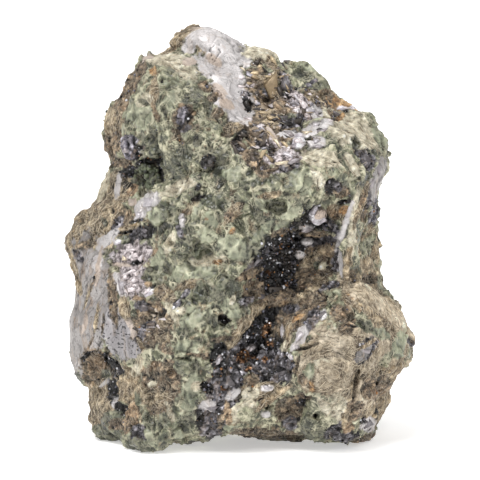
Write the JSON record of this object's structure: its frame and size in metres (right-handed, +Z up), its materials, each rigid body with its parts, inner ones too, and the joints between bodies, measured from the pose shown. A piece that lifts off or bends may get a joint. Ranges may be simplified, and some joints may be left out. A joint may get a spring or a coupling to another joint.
{
  "type": "nickel ore specimen",
  "caption": "Upright rough lump of green serpentine rock with grey metallic sheets, a dark ore-filled cleft and a tan fibrous boss, broken flat underneath to stand on",
  "frame": {"origin": "middle of the bounding box's bottom face, on the level the rock stands on", "axes": "+Z up; the side with the cleft faces -Y; +X to the right of that side"},
  "size_m": [0.0864, 0.0714, 0.102],
  "materials": {
    "serpentine_ore": "rough and mixed: matte green and tan stone with satin grey metallic sheets and dark glinting grains"
  },
  "bodies": {
    "root": {"nickel_ore": "serpentine_ore"}
  },
  "joints": []
}
